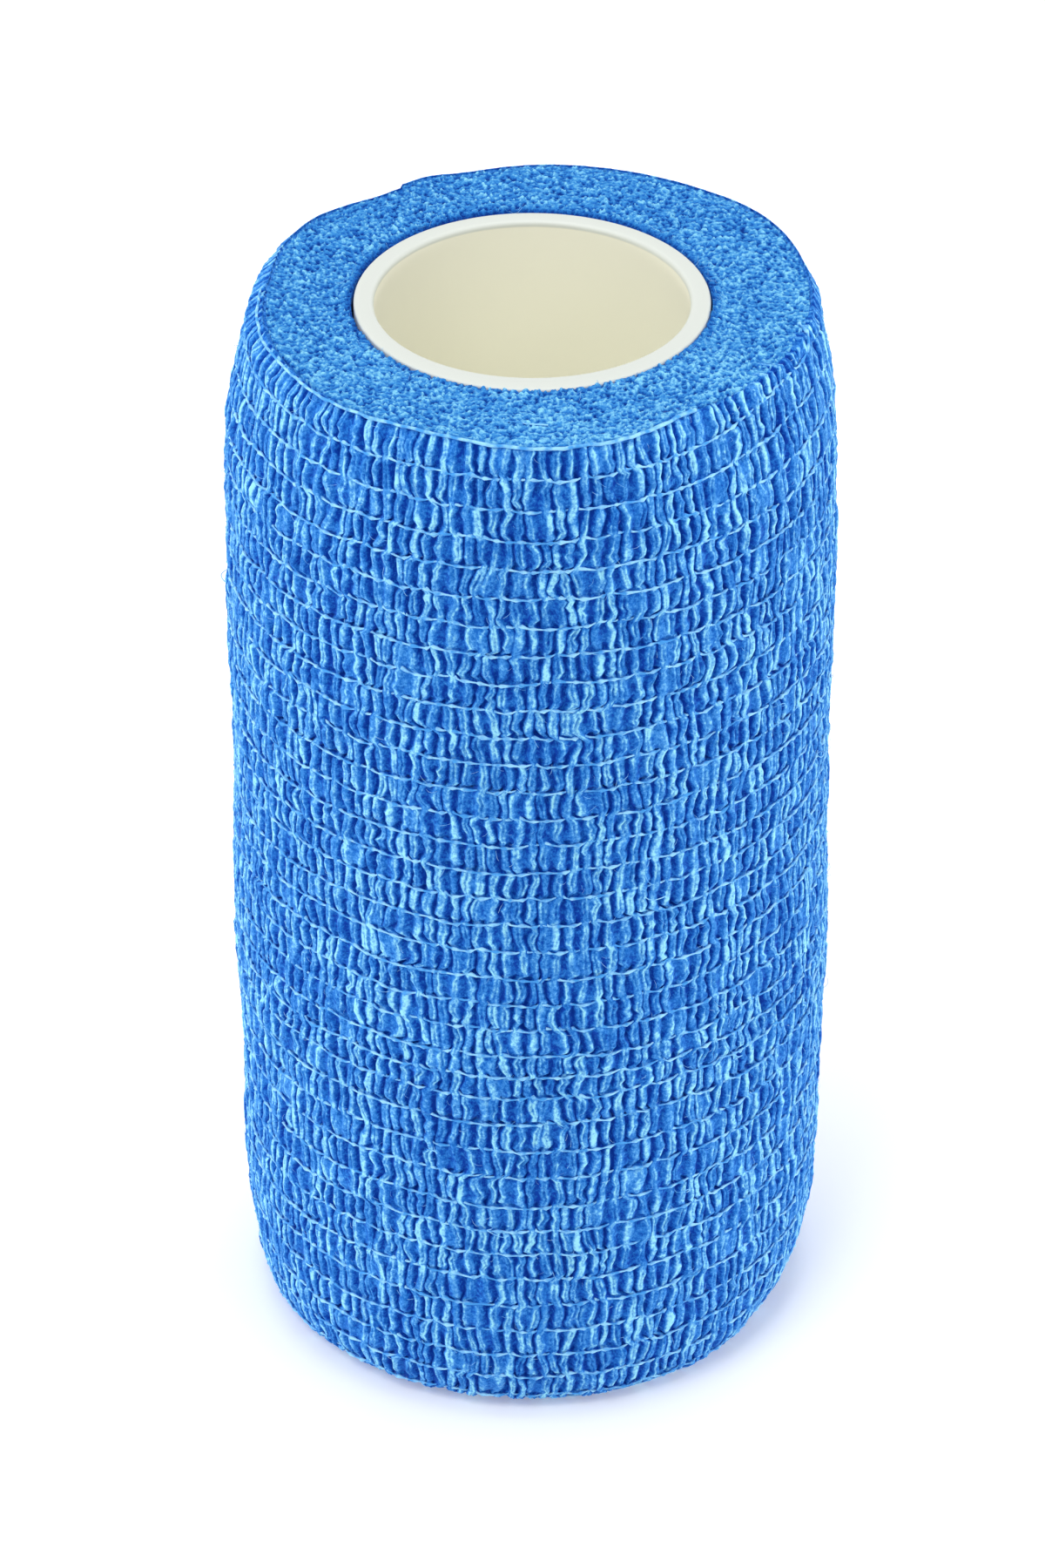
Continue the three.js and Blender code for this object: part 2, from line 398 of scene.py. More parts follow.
def outerTurn():
    # Places and heights of the crinkled surface, from the foot to just over the top edge.
    rng = np.random.default_rng(web["seed"] + 1)
    bands = len(form.threads) - 1
    places = [band + share for band in range(bands) for share in bandRows] + [float(bands)]
    sway = Patchwork(rng, (110, 130))
    turned, lift, pale = (np.array(part) for part in zip(*(ridgeRow(place, rng, sway) for place in places)))
    turned = np.clip(turned * web["overlap"] / crinkle["number"], 0, web["overlap"])
    waves = Patchwork(rng, (160, 190))
    spots = np.array(places)[:, None]
    wide, narrow, jitter = web["uneven"]
    lift += wide * waves.at(spots / 0.9, turned / 4) + narrow * waves.at(spots / 0.16, turned / 1.1)
    lift += rng.normal(0, jitter, lift.shape)
    mottle, grain = web["mottled"]
    speckle = rng.uniform(-grain, grain, pale.shape)
    pale *= 0.94 + mottle * waves.at(spots / 0.21 + 7, turned / 1.3) + speckle
    edge = np.clip(spots - bands + 0.6, 0, 0.6) / 0.6
    first, last = web["plainEdge"]
    plain = np.clip((turned - last) / 15, 0, 1) + np.clip((first - turned) / 12, 0, 1)
    lift += edge * (-0.14 - lift) * np.clip(0.5 + 0.45 * plain, 0, 1)
    heights = bandHeights(spots, turned, sway, waves)
    radius = form.radiusAt(turned, np.minimum(heights, form.height))
    turned, radius, heights, lift, pale = overTheEdge(turned, radius, heights, lift, pale, waves)
    along = np.gradient(smooth(radius, 5, 0), axis=0)
    up = np.gradient(smooth(heights, 5, 0), axis=0)
    length = np.hypot(along, up)
    return {
        "turned": turned, "radius": radius, "height": heights, "lift": lift,
        "relief": np.clip(pale, -0.2, 1.1), "out": up / length, "rise": -along / length,
    }


surface = outerTurn()
surfacePoints = polar(
    surface["turned"],
    surface["radius"] + surface["lift"] * surface["out"],
    np.maximum(surface["height"] + surface["lift"] * surface["rise"], 0.0),
)
print(f"outer turn: {surfacePoints.shape[0]} x {surfacePoints.shape[1]} points")


def turnStrip(name, first, last):
    # A closed strip of the outer turn between two rows of points, with a plain inside wall.
    points = surfacePoints[first : last + 1]
    inner = np.stack([surface["radius"][last], surface["radius"][first]]) - web["wallDepth"]
    heights = np.stack([points[-1, :, 2], points[0, :, 2]])
    turned = np.stack([surface["turned"][last], surface["turned"][first]])
    shell = np.concatenate([points, polar(turned, inner, heights)])
    shade = np.concatenate([surface["relief"][first : last + 1], np.zeros((2, points.shape[1]))])
    return gridObject(name, shell, attributes={"relief": shade})


cuts = [0, 12 * perBand, 25 * perBand, surfacePoints.shape[0] - 1]
strips = [
    turnStrip(f"outer_turn_{label}", cuts[i], cuts[i + 1])
    for i, label in enumerate(("foot", "middle", "top"))
]

# The cut edges of the wound turns, which make the end faces.
endFace = {
    "turns": 17,
    "across": 70,  # mm that the patterns reach, more than the roll is wide
    "points": {"top": (1060, 76), "foot": (500, 36)},  # round the face and across it
    "trim": {"top": 0.45, "foot": 0.35},  # mm that the face stays inside the outer turn
    "shade": (0.66, 0.05),  # how pale it is, and how much more on its lit side
    "grain": (0.2, 0.3, 0.9),  # mm, the sizes of the crinkles along the cut edges
    "grainShare": (0.2, 0.13, 0.03),
    "edgeShare": 0.04,  # how far the turns can be told apart
    "pitSpacing": 0.48,  # mm
    "pitSize": (0.1, 0.4),  # half of a pit, as shares of the spacing
    "pitShade": 0.7,  # how much darker a pit is: painted shade
    "tuftGlint": 0.5,  # painted glint: how much paler a small raised tuft of web is
    "depth": 0.42,  # mm from the crests of the edges to the pits
    "billow": 0.16,  # mm that the face rises and falls
    "gap": 0.38,  # mm between the web and the core, at the back
    "seed": 21,
}


def flatNoise(rng, places, size):  # noise over the end face, with features of this size in mm
    cells = int(endFace["across"] / size)
    x, y = places[..., 0] / size + cells / 2, places[..., 1] / size + cells / 2
    return Patchwork(rng, (cells, cells)).at(x, y)


def pitsOver(rng, places):
    # How deep the small pits between the cut edges are, from 0 to 1: one long pit to each cell.
    spacing = endFace["pitSpacing"]
    cells = int(endFace["across"] / spacing)
    shift = rng.uniform(0.1, 0.9, (2, cells, cells))
    size = rng.uniform(*endFace["pitSize"], (cells, cells))
    lie = rng.uniform(0, math.pi, (cells, cells))
    x, y = places[..., 0] / spacing + cells / 2, places[..., 1] / spacing + cells / 2
    deep = np.zeros_like(x)
    for i, j in ((i, j) for i in (-1, 0, 1) for j in (-1, 0, 1)):
        a, b = np.floor(x).astype(int) + i, np.floor(y).astype(int) + j
        dx, dy = x - a - shift[0, a, b], y - b - shift[1, a, b]
        along = dx * np.cos(lie[a, b]) + dy * np.sin(lie[a, b])
        aside = dy * np.cos(lie[a, b]) - dx * np.sin(lie[a, b])
        deep = np.maximum(deep, 1.3 - np.hypot(along / 1.4, aside) / size[a, b])
    return np.clip(deep * 1.3, 0, 1)


def cutEdges(rng, places, turned, share):
    # How pale the cut edges are, from 0 in the pits to about 1 on the crests: their own grain and tone,
    # with painted
    # # light on the lit side, painted shade in the pits and painted glints on small raised tufts.
    level, lit = endFace["shade"]
    level = np.full_like(places[..., 0], level) + lit * np.cos(np.radians(turned + web["freeEnd"] + 60))
    for size, strength in zip(endFace["grain"], endFace["grainShare"]):
        level += strength * flatNoise(rng, places, size)
    spiral = share * endFace["turns"] - turned / 360 + 0.45 * flatNoise(rng, places, 1.1)
    level += endFace["edgeShare"] * np.cos(2 * math.pi * spiral)
    # Painted shade in the pits, then painted glints on small raised tufts.
    level -= endFace["pitShade"] * pitsOver(rng, places)
    level += endFace["tuftGlint"] * pitsOver(rng, places) ** 2 * (flatNoise(rng, places, 0.7) > 0.25)
    return np.clip(level, 0, 1.1)


def woundEnd(end):
    # One end face as a closed ring: the crinkled edges with their pits, a plain inside and two walls.
    top = end == "top"
    rng = np.random.default_rng(endFace["seed"] + (0 if top else 1))
    columns, rings = endFace["points"][end]
    turned = np.linspace(0, 360, columns, endpoint=False)
    behind = 0.5 + 0.5 * np.sin(np.radians(turned + web["freeEnd"] - 10))
    inner = form.bore - 0.29 + (endFace["gap"] if top else 0.05) * behind
    edge = form.radii[-1 if top else 0]
    rim = np.interp(np.minimum(turned, 358), form.turned, edge) - endFace["trim"][end]
    share = np.linspace(0, 1, rings)[:, None]
    radius = inner + (rim - inner) * share
    places = polar(turned, radius, radius)
    level = cutEdges(rng, places, turned, share)
    sunk = endFace["depth"] * (1 - level)
    if top:
        billow = endFace["billow"] * flatNoise(rng, places, 4.5) * np.clip(share * 6, 0, 1)
        billow *= np.clip((1 - share) * 6, 0, 1)  # none at either edge
        atCore = np.exp(-(((radius - inner) / 0.3) ** 2)) * (0.4 * behind - 0.1)
        height, inside = form.height - (sunk + billow + atCore), form.height - 2.0
    else:
        height, inside = np.maximum(sunk - 0.05, 0.0), 2.0
    face = polar(turned, radius, height)
    hidden = polar(np.vstack([turned, turned]), np.stack([rim, inner]), np.full((2, columns), inside))
    points = np.concatenate([face, hidden])
    # Painted shade in the gap round the core, strongest at the back.
    level = level * (1 - (0.2 + 0.8 * behind) * np.exp(-(((radius - inner) / 0.48) ** 2)))
    shade = np.concatenate([np.clip(level, 0, 1), np.zeros((2, columns))])
    if top:
        points, shade = points[::-1], shade[::-1]
    return gridObject(f"wound_edges_{end}", points, attributes={"relief": shade})


upperEnd = woundEnd("top")
lowerEnd = woundEnd("foot")
print("end faces: made")


def addNode(tree, kind, settings=None, links=None):
    # A node with its settings by property or socket name, and its inputs linked from other sockets.
    node = tree.nodes.new(kind)
    for name, value in (settings or {}).items():
        if isinstance(name, str) and hasattr(node, name):
            setattr(node, name, value)
        else:
            node.inputs[name].default_value = value
    for name, source in (links or {}).items():
        tree.links.new(source, node.inputs[name])
    return node


# An elastic thread runs along both edges of every band.
thread = {
    "thickness": 0.132,  # mm, half of a thread
    "beads": (0.55, 1.55, 0.75),  # how thick it is at the start, middle and end of each ridge
    "uneven": 0.25,  # how much thicker or thinner it is from place to place
    "sides": 5,
    "sunk": 0.16,  # mm below the ridges
    "covered": 0.06,  # mm more where a ridge crosses it
    "wander": (0.05, 0.1),  # mm, in and out, and up and down
    "sag": 0.16,  # mm that it sags between two ridges that cross it
    "climb": (223.5, 229.5),  # degrees past the free end where the top one turns over the edge and ends
    "climbRadius": 22.6,  # mm
    "resumes": 237.0,  # degrees, where it comes out again
    "edgeThickness": 0.14,  # mm, half of the one that lies on the end face near its edge
    "edgePath": [
        (52, 22.95), (61, 23.0), (76, 23.4), (91, 23.35), (105, 23.6), (118, 23.3), (130, 23.15),
        (144, 24.0), (154, 24.4), (159, 24.1), (168, 23.9), (176, 23.2), (183, 22.4), (187, 22.6),
    ],  # degrees past the free end and mm
    "innerThickness": 0.07,  # mm, half of the short one further in
    "innerPath": [(141, 20.2), (148, 20.2), (154, 20.8)],
    "seed": 5,
}


def bandThread(number, wave):
    # A thread that runs under the ridges that cross it, and over the others.
    row = number * perBand
    columns = np.arange(surface["turned"].shape[1])
    pick = columns[np.isin(columns % perRidge, (1, 3, 6))]
    turned = surface["turned"][row, pick]
    radius, height = surface["radius"][row, pick], surface["height"][row, pick].copy()
    covered = (surface["lift"][row, pick] > -0.16).astype(float)
    covered = np.convolve(covered, [0.25, 0.5, 0.25], "same")
    inAndOut, upAndDown = thread["wander"]
    sunk = thread["sunk"] + inAndOut * wave.at(float(number), turned / 3) + thread["covered"] * covered
    height += thread["sag"] * (2 * covered - 1) + upAndDown * wave.at(number + 0.5, turned / 3.1)
    radius = radius - sunk * surface["out"][row, pick]
    height = height - sunk * surface["rise"][row, pick]
    beads = np.resize(thread["beads"], len(pick))
    size = thread["thickness"] * beads * (1 + thread["uneven"] * wave.at(number + 0.25, turned / 1.6))
    keep = (turned > 0.3) & (turned < web["overlap"] - 0.2)
    if number == len(form.threads) - 2:
        radius, height = overTheTop(turned, radius, height)
        keep &= (turned < thread["climb"][1]) | (turned > thread["resumes"])
    path = polar(turned, radius, np.maximum(height, size))
    gap = np.flatnonzero(np.diff(turned[keep]) > 4) + 1
    return list(zip(np.split(path[keep], gap), np.split(size[keep], gap)))


def overTheTop(turned, radius, height):
    # The top thread climbs over the edge of the web and lies on the end face.
    start, end = thread["climb"]
    share = np.clip((turned - start) / (end - start), 0, 1) * (turned < end)
    top = form.height + 0.1 - 0.25 * np.clip(share - 0.8, 0, 1)
    height = height + (top - height) * np.minimum(1, share * 3)
    return radius + (thread["climbRadius"] - radius) * np.clip(share * 1.3 - 0.3, 0, 1), height


def laidThread(table, thickness, wave, height):
    # A thread laid on the end face along a few measured places.
    turned = np.arange(table[0][0], table[-1][0], 0.7)
    radius = np.interp(turned, *zip(*table))
    radius = smooth(radius, 9, 0) + 0.05 * wave.at(41.0, turned / 1.7)
    height = form.height + height + 0.07 * wave.at(43.0, turned / 2.3)
    share = (turned - turned[0]) / (turned[-1] - turned[0])
    height = height - 0.5 * np.clip(1 - share * 12, 0, 1)
    size = thickness * (0.75 + 0.5 * share + 0.15 * wave.at(45.0, turned / 1.3))
    return [(polar(turned, radius, height), size)]


def threadPaths():
    rng = np.random.default_rng(thread["seed"])
    wave = Patchwork(rng, (60, 140))
    made = [pair for number in range(len(form.threads) - 1) for pair in bandThread(number, wave)]
    made += laidThread(thread["edgePath"], thread["edgeThickness"], wave, -0.1)
    made += laidThread(thread["innerPath"], thread["innerThickness"], wave, -0.05)
    return zip(*made)


def pathObject(name, paths, thickness):
    # Paths as loose edges, with each point's thickness.
    mesh = bpy.data.meshes.new(name)
    ends = np.cumsum([len(path) for path in paths])
    after = np.setdiff1d(np.arange(1, ends[-1]), ends)  # every point that follows one of its own path
    mesh.from_pydata(np.concatenate(paths) * mm, np.stack([after - 1, after], -1), [])
    layer = mesh.attributes.new("thickness", "FLOAT", "POINT")
    layer.data.foreach_set("value", (np.concatenate(thickness) * mm).astype(np.float32))
    return addObject(name, mesh)


def newTree(name, inputs, output):
    # A geometry node group with these inputs, each a name, a kind and a value.
    tree = bpy.data.node_groups.new(name, "GeometryNodeTree")
    for label, kind, value in inputs:
        socket = tree.interface.new_socket(name=label, in_out="INPUT", socket_type="NodeSocket" + kind)
        if value is not None:
            socket.default_value = value
    tree.interface.new_socket(name=output, in_out="OUTPUT", socket_type="NodeSocketGeometry")
    return tree, addNode(tree, "NodeGroupInput").outputs


def finishTree(tree, geometry, finish):
    # Ends a node group: plain geometry, with its material.
    real = addNode(tree, "GeometryNodeRealizeInstances", links={"Geometry": geometry})
    links = {"Geometry": real.outputs[0], "Material": finish}
    finished = addNode(tree, "GeometryNodeSetMaterial", links=links)
    addNode(tree, "NodeGroupOutput", links={0: finished.outputs[0]})
    return tree


def strandTree():
    # Turns loose edges into round strands.
    tree, given = newTree("strands", [
        ("Paths", "Geometry", None), ("Sides", "Int", 6), ("Finish", "Material", None),
    ], "Strands")
    size = addNode(tree, "GeometryNodeInputNamedAttribute", {"data_type": "FLOAT", "Name": "thickness"})
    curve = addNode(tree, "GeometryNodeMeshToCurve", links={0: given["Paths"]})
    sides = {"Resolution": given["Sides"]}
    ring = addNode(tree, "GeometryNodeCurvePrimitiveCircle", {"Radius": 1.0}, sides)
    tube = addNode(tree, "GeometryNodeCurveToMesh", {"Fill Caps": True}, {
        "Curve": curve.outputs[0], "Profile Curve": ring.outputs[0], "Scale": size.outputs[0],
    })
    smoothed = addNode(tree, "GeometryNodeSetShadeSmooth", links={"Geometry": tube.outputs[0]})
    return finishTree(tree, smoothed.outputs[0], given["Finish"])


def growWith(piece, tree, values):
    # Runs a node tree on a piece with these named inputs and keeps the result as a plain mesh.
    modifier = piece.modifiers.new(tree.name, "NODES")
    modifier.node_group = tree
    for item in tree.interface.items_tree:
        if item.item_type == "SOCKET" and item.in_out == "INPUT" and item.name in values:
            modifier[item.identifier] = values[item.name]
    bpy.context.view_layer.update()
    evaluated = piece.evaluated_get(bpy.context.evaluated_depsgraph_get())
    mesh = bpy.data.meshes.new_from_object(evaluated)
    piece.modifiers.clear()
    piece.data = mesh
    return piece


def newMaterial(name):
    material = bpy.data.materials.new(name)
    material.use_nodes = True
    material.node_tree.nodes.clear()
    return material


def ramp(tree, factor, stops):
    node = addNode(tree, "ShaderNodeValToRGB", links={"Fac": factor})
    while len(node.color_ramp.elements) < len(stops):
        node.color_ramp.elements.new(0.5)
    for element, (place, colour) in zip(node.color_ramp.elements, stops):
        element.position = place
        element.color = linear(colour)
    return node.outputs["Color"]


def grainOf(tree, size, detail=3.0, roughness=0.5):
    # Fine noise through the object, with features of this size in mm.
    place = addNode(tree, "ShaderNodeTexCoord").outputs["Object"]
    settings = {"Scale": 1 / (size * mm), "Detail": detail, "Roughness": roughness}
    return addNode(tree, "ShaderNodeTexNoise", settings, {"Vector": place}).outputs["Fac"]


def calculate(tree, operation, first, *others, clamp=False):
    # A math node whose first value is a socket and whose others are sockets or numbers.
    settings = {"operation": operation, "use_clamp": clamp}
    links = {0: first}
    for place, value in enumerate(others, 1):
        if isinstance(value, (int, float)):
            settings[place] = value
        else:
            links[place] = value
    return addNode(tree, "ShaderNodeMath", settings, links).outputs[0]


def surfaceOf(tree, colour, height, strength, depth, settings, links=None):
    # The shader itself, with a bump of this depth in mm.
    bumps = {"Strength": strength, "Distance": depth * mm}
    bump = addNode(tree, "ShaderNodeBump", bumps, {"Height": height})
    links = {"Base Color": colour, "Normal": bump.outputs["Normal"], **(links or {})}
    shader = addNode(tree, "ShaderNodeBsdfPrincipled", settings, links)
    addNode(tree, "ShaderNodeOutputMaterial", links={"Surface": shader.outputs[0]})


def crinkledNonwoven(name, stops, bumpDepth, grainSize, mottle):
    # Spun polyester nonwoven bonded with latex: matt and a little fuzzy. Its colour follows the relief:
    # painted
    # # shade in the folds and pits and painted highlight on the crests, over its own mottled tone.
    material = newMaterial(name)
    tree = material.node_tree
    high = addNode(tree, "ShaderNodeAttribute", {"attribute_name": "relief"}).outputs["Fac"]
    fibres = grainOf(tree, grainSize, roughness=0.7)
    mottled = calculate(tree, "MULTIPLY_ADD", fibres, mottle, -0.51 * mottle)
    blotched = calculate(tree, "MULTIPLY_ADD", grainOf(tree, 6, detail=2.0), 0.3, -0.15)
    both = calculate(tree, "ADD", mottled, blotched)
    colour = ramp(tree, calculate(tree, "ADD", high, both, clamp=True), stops)
    surfaceOf(tree, colour, fibres, 0.6, bumpDepth, {
        "Roughness": 0.8, "IOR": 1.48, "Specular IOR Level": 0.12,
        "Sheen Weight": 0.2, "Sheen Roughness": 0.4, "Sheen Tint": linear("#8cc8ff"),
    })
    return material


def plasticTube(name, rim, bore):
    # Extruded polyethylene, milky and warm ivory. The bore is painted paler than the rim and glows faintly:
    # # painted light that brightens the inside of the tube.
    material = newMaterial(name)
    tree = material.node_tree
    within = addNode(tree, "ShaderNodeAttribute", {"attribute_name": "within"}).outputs["Fac"]
    colour = ramp(tree, within, [(0.0, rim), (1.0, bore)])
    # Painted light: a faint glow deep in the bore.
    glow = calculate(tree, "MULTIPLY", within, 0.03)
    surfaceOf(tree, colour, grainOf(tree, 1.4), 0.3, 0.03, {
        "Roughness": 0.45, "IOR": 1.5, "Specular IOR Level": 0.4, "Emission Color": linear(bore),
    }, {"Emission Strength": glow})
    return material


def polyesterStrand(name, colours, roughness, grainSize, bumpDepth, spread):
    # Textured polyester, drawn fine or covering an elastic thread: matt, and a little uneven in colour.
    material = newMaterial(name)
    tree = material.node_tree
    grain = grainOf(tree, grainSize)
    tint = ramp(tree, grain, [(0.5 - spread, colours[0]), (0.5 + spread, colours[1])])
    settings = {"Roughness": roughness, "IOR": 1.5, "Specular IOR Level": 0.15}
    surfaceOf(tree, tint, grain, 0.4, bumpDepth, settings)
    return material


webFinish = crinkledNonwoven(
    "latex_bonded_nonwoven",
    [(0.0, "#003ca4"), (0.3, "#1c6fc8"), (0.6, "#4896e2"), (1.0, "#9ce4fa")], 0.1, 0.31, 1.5,
)
endFinish = crinkledNonwoven(
    "cut_nonwoven_edges",
    [(0.0, "#003288"), (0.3, "#1c69c0"), (0.6, "#3b90d8"), (1.0, "#8cd8f6")], 0.06, 0.24, 1.1,
)
threadFinish = polyesterStrand("elastane_thread", ("#489ee8", "#9cdcff"), 0.6, 1.0, 0.02, 0.1)
fibreFinish = polyesterStrand("polyester_fibre", ("#4fa6ee", "#a8dcfb"), 0.5, 0.8, 0.01, 0.2)
coreFinish = plasticTube("extruded_polyethylene", "#d9ded8", "#fffeee")

strands = strandTree()
threads = pathObject("elastic_threads", *threadPaths())
growWith(threads, strands, {"Sides": thread["sides"], "Finish": threadFinish})
print(f"threads: {len(threads.data.polygons)} faces")

# Fine polyester fibres stand off the web, most of them round the core.
fibre = {
    "number": 1800,  # over the outer turn
    "collarNumber": 110,  # round the core
    "collar": (0.1, 0.4, 0.9),  # mm from the bore of the web, across the ring that they stand on
    "rooted": 0.12,  # mm that their feet are inside the roll
    "length": 0.75,  # mm
    "thickness": 0.014,  # mm, half of a fibre
    "looseThickness": 0.05,  # mm, half of a loose thread
    "seed": 3,
}

# Threads and fibres that have come loose: where they start (degrees past the free end and mm up), how far
# they run round and up in mm, and how far they curl.
looseEnds = [
    (171.5, 59.5, 0.6, -2.6, 0.5), (174.6, 55.0, -0.9, 1.7, 0.8), (130.2, 29.4, 0.7, 0.6, 0.5),
    (142.2, 21.8, 0.9, -0.5, 0.6), (180.8, 23.0, -0.5, 0.9, 0.5), (191.6, 35.1, 0.4, 1.3, 0.5),
    (202.0, 69.5, 0.9, 0.3, 0.4), (221.6, 59.3, -0.4, 1.0, 0.5), (96.0, 47.0, 0.8, 0.7, 0.5),
    (60.0, 72.0, -0.7, 0.9, 0.5), (262.0, 40.0, 0.8, -0.8, 0.5), (318.0, 66.0, 0.7, 0.9, 0.6),
]


def bentFibre(tree, given):
    # One short fibre, bent like an eyelash.
    arc = addNode(tree, "GeometryNodeCurveQuadraticBezier", {
        "Resolution": 3, "Start": (0, 0, -0.2), "Middle": (0.45, 0.1, 0.55), "End": (1.0, 0.35, 0.1),
    })
    size = addNode(tree, "ShaderNodeCombineXYZ", links={place: given["Length"] for place in range(3)})
    links = {"Geometry": arc.outputs[0], "Scale": size.outputs[0]}
    sized = addNode(tree, "GeometryNodeTransform", links=links)
    half = {"Radius": given["Thickness"]}
    ring = addNode(tree, "GeometryNodeCurvePrimitiveCircle", {"Resolution": 3}, half)
    return addNode(tree, "GeometryNodeCurveToMesh", {"Fill Caps": True}, {
        "Curve": sized.outputs[0], "Profile Curve": ring.outputs[0],
    })


def fibreTree():
    # Scatters bent fibres over a surface, each turned at random about the surface's own normal.
    tree, given = newTree("stray_fibres", [
        ("Surface", "Geometry", None), ("Density", "Float", 1.0), ("Length", "Float", 0.0007),
        ("Thickness", "Float", 0.00001), ("Seed", "Int", 0), ("Finish", "Material", None),
    ], "Fibres")
    spread = addNode(tree, "GeometryNodeDistributePointsOnFaces", links={
        "Mesh": given["Surface"], "Density": given["Density"], "Seed": given["Seed"],
    })
    lean = {"data_type": "FLOAT_VECTOR", 0: (-0.35, -0.35, 0), 1: (0.35, 0.35, 6.283)}
    turn = addNode(tree, "FunctionNodeRandomValue", lean, {"Seed": given["Seed"]})
    facing = addNode(tree, "FunctionNodeRotateRotation", {"rotation_space": "LOCAL"}, {
        "Rotation": spread.outputs["Rotation"], "Rotate By": turn.outputs["Value"],
    })
    sizes = {"data_type": "FLOAT", 2: 0.5, 3: 1.5}
    size = addNode(tree, "FunctionNodeRandomValue", sizes, {"Seed": given["Seed"]})
    placed = addNode(tree, "GeometryNodeInstanceOnPoints", links={
        "Points": spread.outputs["Points"], "Instance": bentFibre(tree, given).outputs[0],
        "Rotation": facing.outputs[0], "Scale": size.outputs[1],
    })
    return finishTree(tree, placed.outputs[0], given["Finish"])


def fibresOver(name, rows, number, seed):
    # Fibres over the surface that these rows, each a height and its radii, sweep round the axis.
    turned = np.linspace(0, 358.5, 120)
    lines = [polar(turned, radius, np.full_like(turned, height)) for height, radius in rows(turned)]
    piece = gridObject(name, np.stack(lines), closedRows=False)
    area = sum(face.area for face in piece.data.polygons)
    return growWith(piece, fibreTree(), {
        "Density": number / area, "Length": fibre["length"] * mm, "Thickness": fibre["thickness"] * mm,
        "Seed": seed, "Finish": fibreFinish,
    })


def outerTurnRows(turned):
    heights = np.linspace(1.5, form.height - 0.6, 50)
    return [(height, form.radiusAt(turned, height) - fibre["rooted"]) for height in heights]


def collarRows(turned):
    height = form.height - 0.05
    return [(height, np.full_like(turned, form.bore + past)) for past in fibre["collar"]]


def looseThreads():
    rng = np.random.default_rng(fibre["seed"])
    paths, thickness = [], []
    share = np.linspace(0, 1, 16)
    for turned, height, across, up, curl in looseEnds:
        level = form.radiusAt(turned, height)
        bend = rng.uniform(-1, 1, 2)
        swing = curl * np.sin(share * math.pi * 1.5 + bend[0])
        around = turned + np.degrees((across * share + swing * np.sign(up)) / level)
        rise = height + up * share + 0.5 * curl * np.sin(share * math.pi * 1.9 + bend[1])
        out = level - 0.25 + (0.3 + 0.9 * curl) * np.sin(share * math.pi) ** 0.7
        paths.append(polar(around, out, rise))
        thickness.append(fibre["looseThickness"] * (1 - 0.4 * share))
    return paths, thickness


outside = fibresOver("fibres_outer_turn", outerTurnRows, fibre["number"], fibre["seed"])
collar = fibresOver("fibres_at_core", collarRows, fibre["collarNumber"], fibre["seed"] + 1)
loose = pathObject("loose_ends", *looseThreads())
growWith(loose, strands, {"Sides": 5, "Finish": threadFinish})
fuzz = [outside, collar, loose]
print(f"fibres: {sum(len(piece.data.polygons) for piece in fuzz)} faces")

core = {
    "sides": 256,
    "lip": 0.4,  # mm, rounded inner lip
    "edge": 0.25,  # mm, rounded outer edge
    "pressed": 0.5,  # mm that the bore is out of round towards -Y
}


def coreTube():
    # A tube with rounded lips, its profile run round the axis.
    low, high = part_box("core")
    outer = (high.x - low.x) / 2 / mm
    inner = np.hypot(*nodePoints("core")[:, :2].T).min()
    height = high.z / mm
    quarter = np.linspace(0, math.pi / 2, 6)
    lip, edge = core["lip"], core["edge"]
    outside = [(outer - edge + edge * math.cos(a), height - edge + edge * math.sin(a)) for a in quarter]
    inside = [(inner + lip - lip * math.sin(a), height - lip + lip * math.cos(a)) for a in quarter]
    upper = outside + inside + [(inner, height - lip - 0.2), (inner, height - 12), (inner, height - 30)]
    lower = [(radius, height - z) for radius, z in reversed(upper)]
    profile = np.array(lower + upper)
    turned = np.linspace(0, 360, core["sides"], endpoint=False)
    wobble = 1 + 0.002 * np.sin(np.radians(2 * turned + 40))
    pressed = core["pressed"] * np.clip(np.cos(np.radians(turned + web["freeEnd"] + 90)), 0, 1) ** 2
    radius = profile[:, :1] * wobble - (profile[:, :1] < inner + lip + 0.01) * pressed
    even = np.ones_like(radius)
    depth = np.minimum(profile[:, 1:], height - profile[:, 1:]) - lip
    within = np.clip(depth * (profile[:, :1] < inner + 0.01) / 0.1, 0, 1) * even
    points = polar(turned * even, radius, profile[:, 1:] * even)
    return gridObject("core_tube", points, attributes={"within": within})


tube = coreTube()
print(f"core: {len(tube.data.polygons)} faces")

for piece in strips:
    piece.data.materials.append(webFinish)
for piece in (upperEnd, lowerEnd):
    piece.data.materials.append(endFinish)
tube.data.materials.append(coreFinish)
webPieces = strips + [upperEnd, lowerEnd, threads] + fuzz
for piece in webPieces:
    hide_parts("bandage")
    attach(piece, "root")
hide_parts("core")
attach(tube, "root")

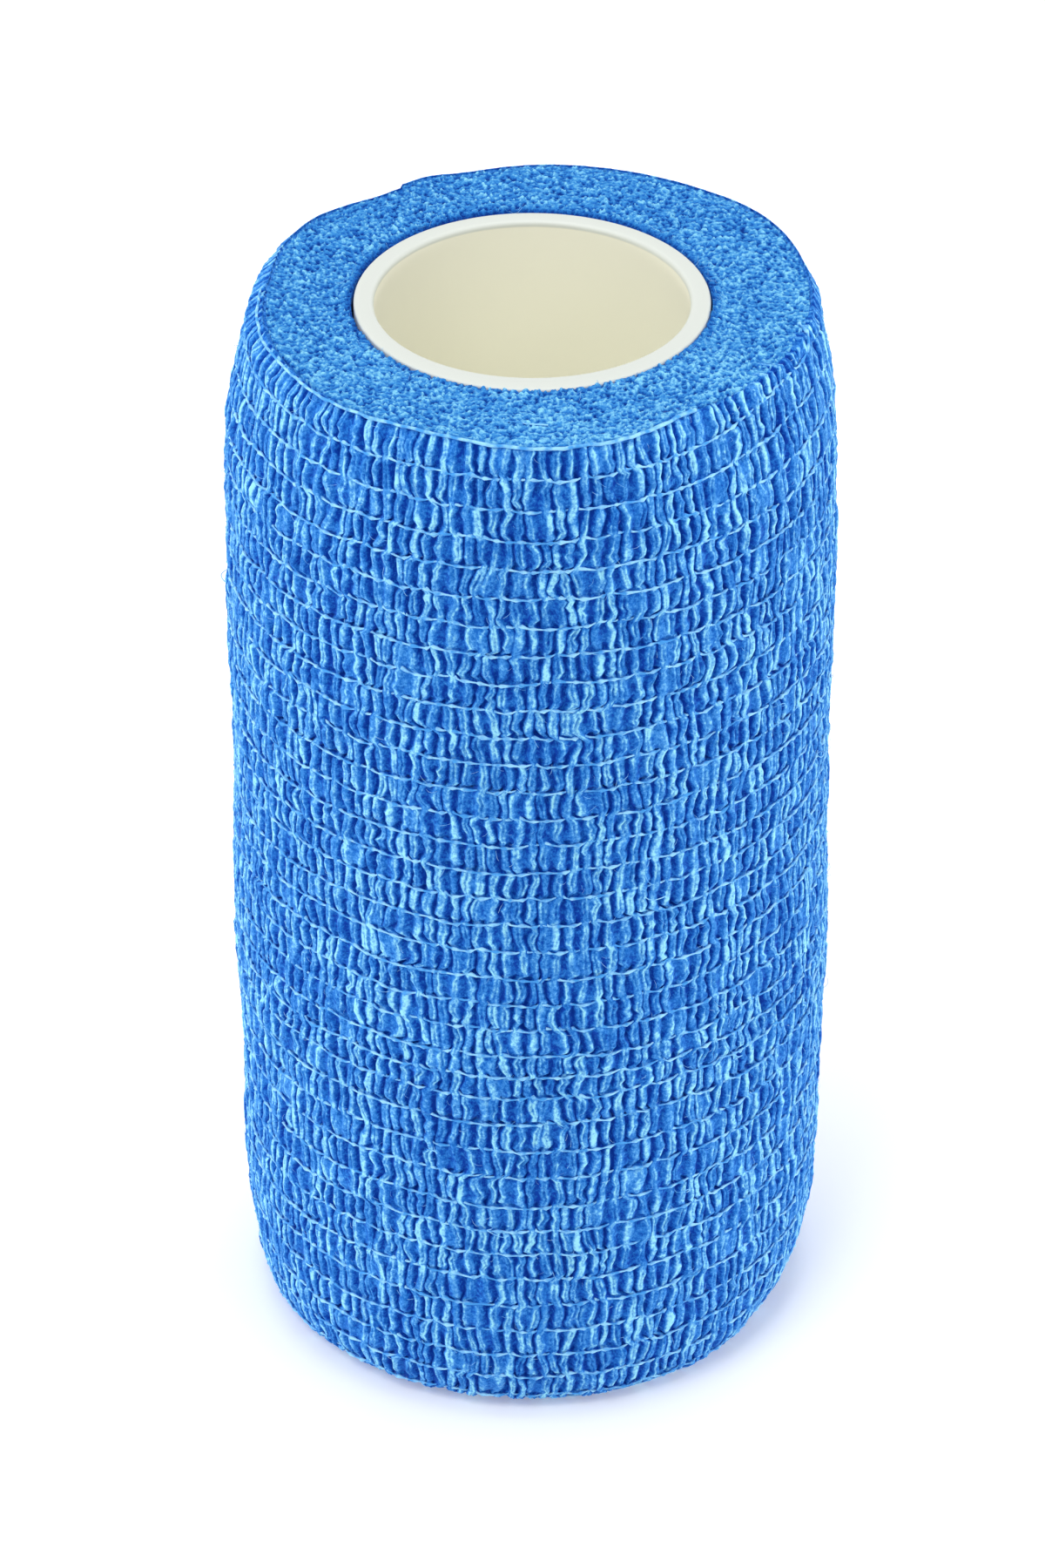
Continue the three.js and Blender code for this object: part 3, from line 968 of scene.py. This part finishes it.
studio = {
    "distance": 605.6,  # mm from the middle of the roll
    "elevation": 33.75,  # degrees
    "aim": 51.06,  # mm above the floor
    "lens": 158.3,  # mm
    "shift": -0.0062,
    "world": 0.5,
    "floorSize": 3,  # m, half of it
    "floorGlow": 0.2,
    "lamps": {  # place in m, width, height and power
        "key": ((-0.5, -0.8, 1.5), 0.7, 0.7, 9),
        "fill": ((0.9, -0.8, 1.1), 0.7, 0.7, 2),
        "top": ((0.0, 0.1, 1.5), 0.6, 0.6, 8),
        "left": ((-1.3, 0.1, 0.1), 0.8, 0.18, 7),
        "right": ((1.3, 0.1, 0.1), 0.8, 0.18, 7),
    },
}


def makeFloor():
    # Pale seamless paper.
    far = studio["floorSize"]
    mesh = bpy.data.meshes.new("floor")
    corners = [(-far, -far, 0), (far, -far, 0), (far, far, 0), (-far, far, 0)]
    mesh.from_pydata(corners, [], [(0, 1, 2, 3)])
    paper = newMaterial("pale_paper")
    shader = addNode(paper.node_tree, "ShaderNodeBsdfPrincipled", {
        "Base Color": linear("#fbfbfb"), "Roughness": 0.9,
        "Emission Color": (1, 1, 1, 1), "Emission Strength": studio["floorGlow"],
    })
    addNode(paper.node_tree, "ShaderNodeOutputMaterial", links={"Surface": shader.outputs[0]})
    mesh.materials.append(paper)
    addObject("floor", mesh)


def makeLights():
    world = bpy.data.worlds.new("studio")
    world.use_nodes = True
    sky = world.node_tree.nodes["Background"].inputs
    sky["Color"].default_value = (1, 1, 1, 1)
    sky["Strength"].default_value = studio["world"]
    bpy.context.scene.world = world
    for name, (place, width, height, power) in studio["lamps"].items():
        lamp = bpy.data.lights.new(name, "AREA")
        lamp.shape = "RECTANGLE"
        lamp.size = width
        lamp.size_y = height
        lamp.energy = power
        holder = addObject(name, lamp)
        holder.location = place
        aim = Vector((0, 0, studio["aim"] * mm)) - holder.location
        holder.rotation_euler = aim.to_track_quat("-Z", "Y").to_euler()


def makeCamera():
    eye = bpy.data.cameras.new("camera")
    eye.lens = studio["lens"]
    eye.shift_x = studio["shift"]
    eye.clip_start = 0.05
    tilt = math.radians(studio["elevation"])
    back, up = studio["distance"] * math.cos(tilt), studio["distance"] * math.sin(tilt)
    camera = addObject("camera", eye)
    camera.location = (0, -back * mm, (studio["aim"] + up) * mm)
    camera.rotation_euler = (math.pi / 2 - tilt, 0, 0)
    bpy.context.scene.camera = camera
    bpy.context.scene.view_settings.view_transform = "Standard"


makeFloor()
makeLights()
makeCamera()
print("studio: made")
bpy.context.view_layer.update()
total = sum(len(face.vertices) - 2 for piece in webPieces + [tube] for face in piece.data.polygons)
print(f"triangles: {total}")
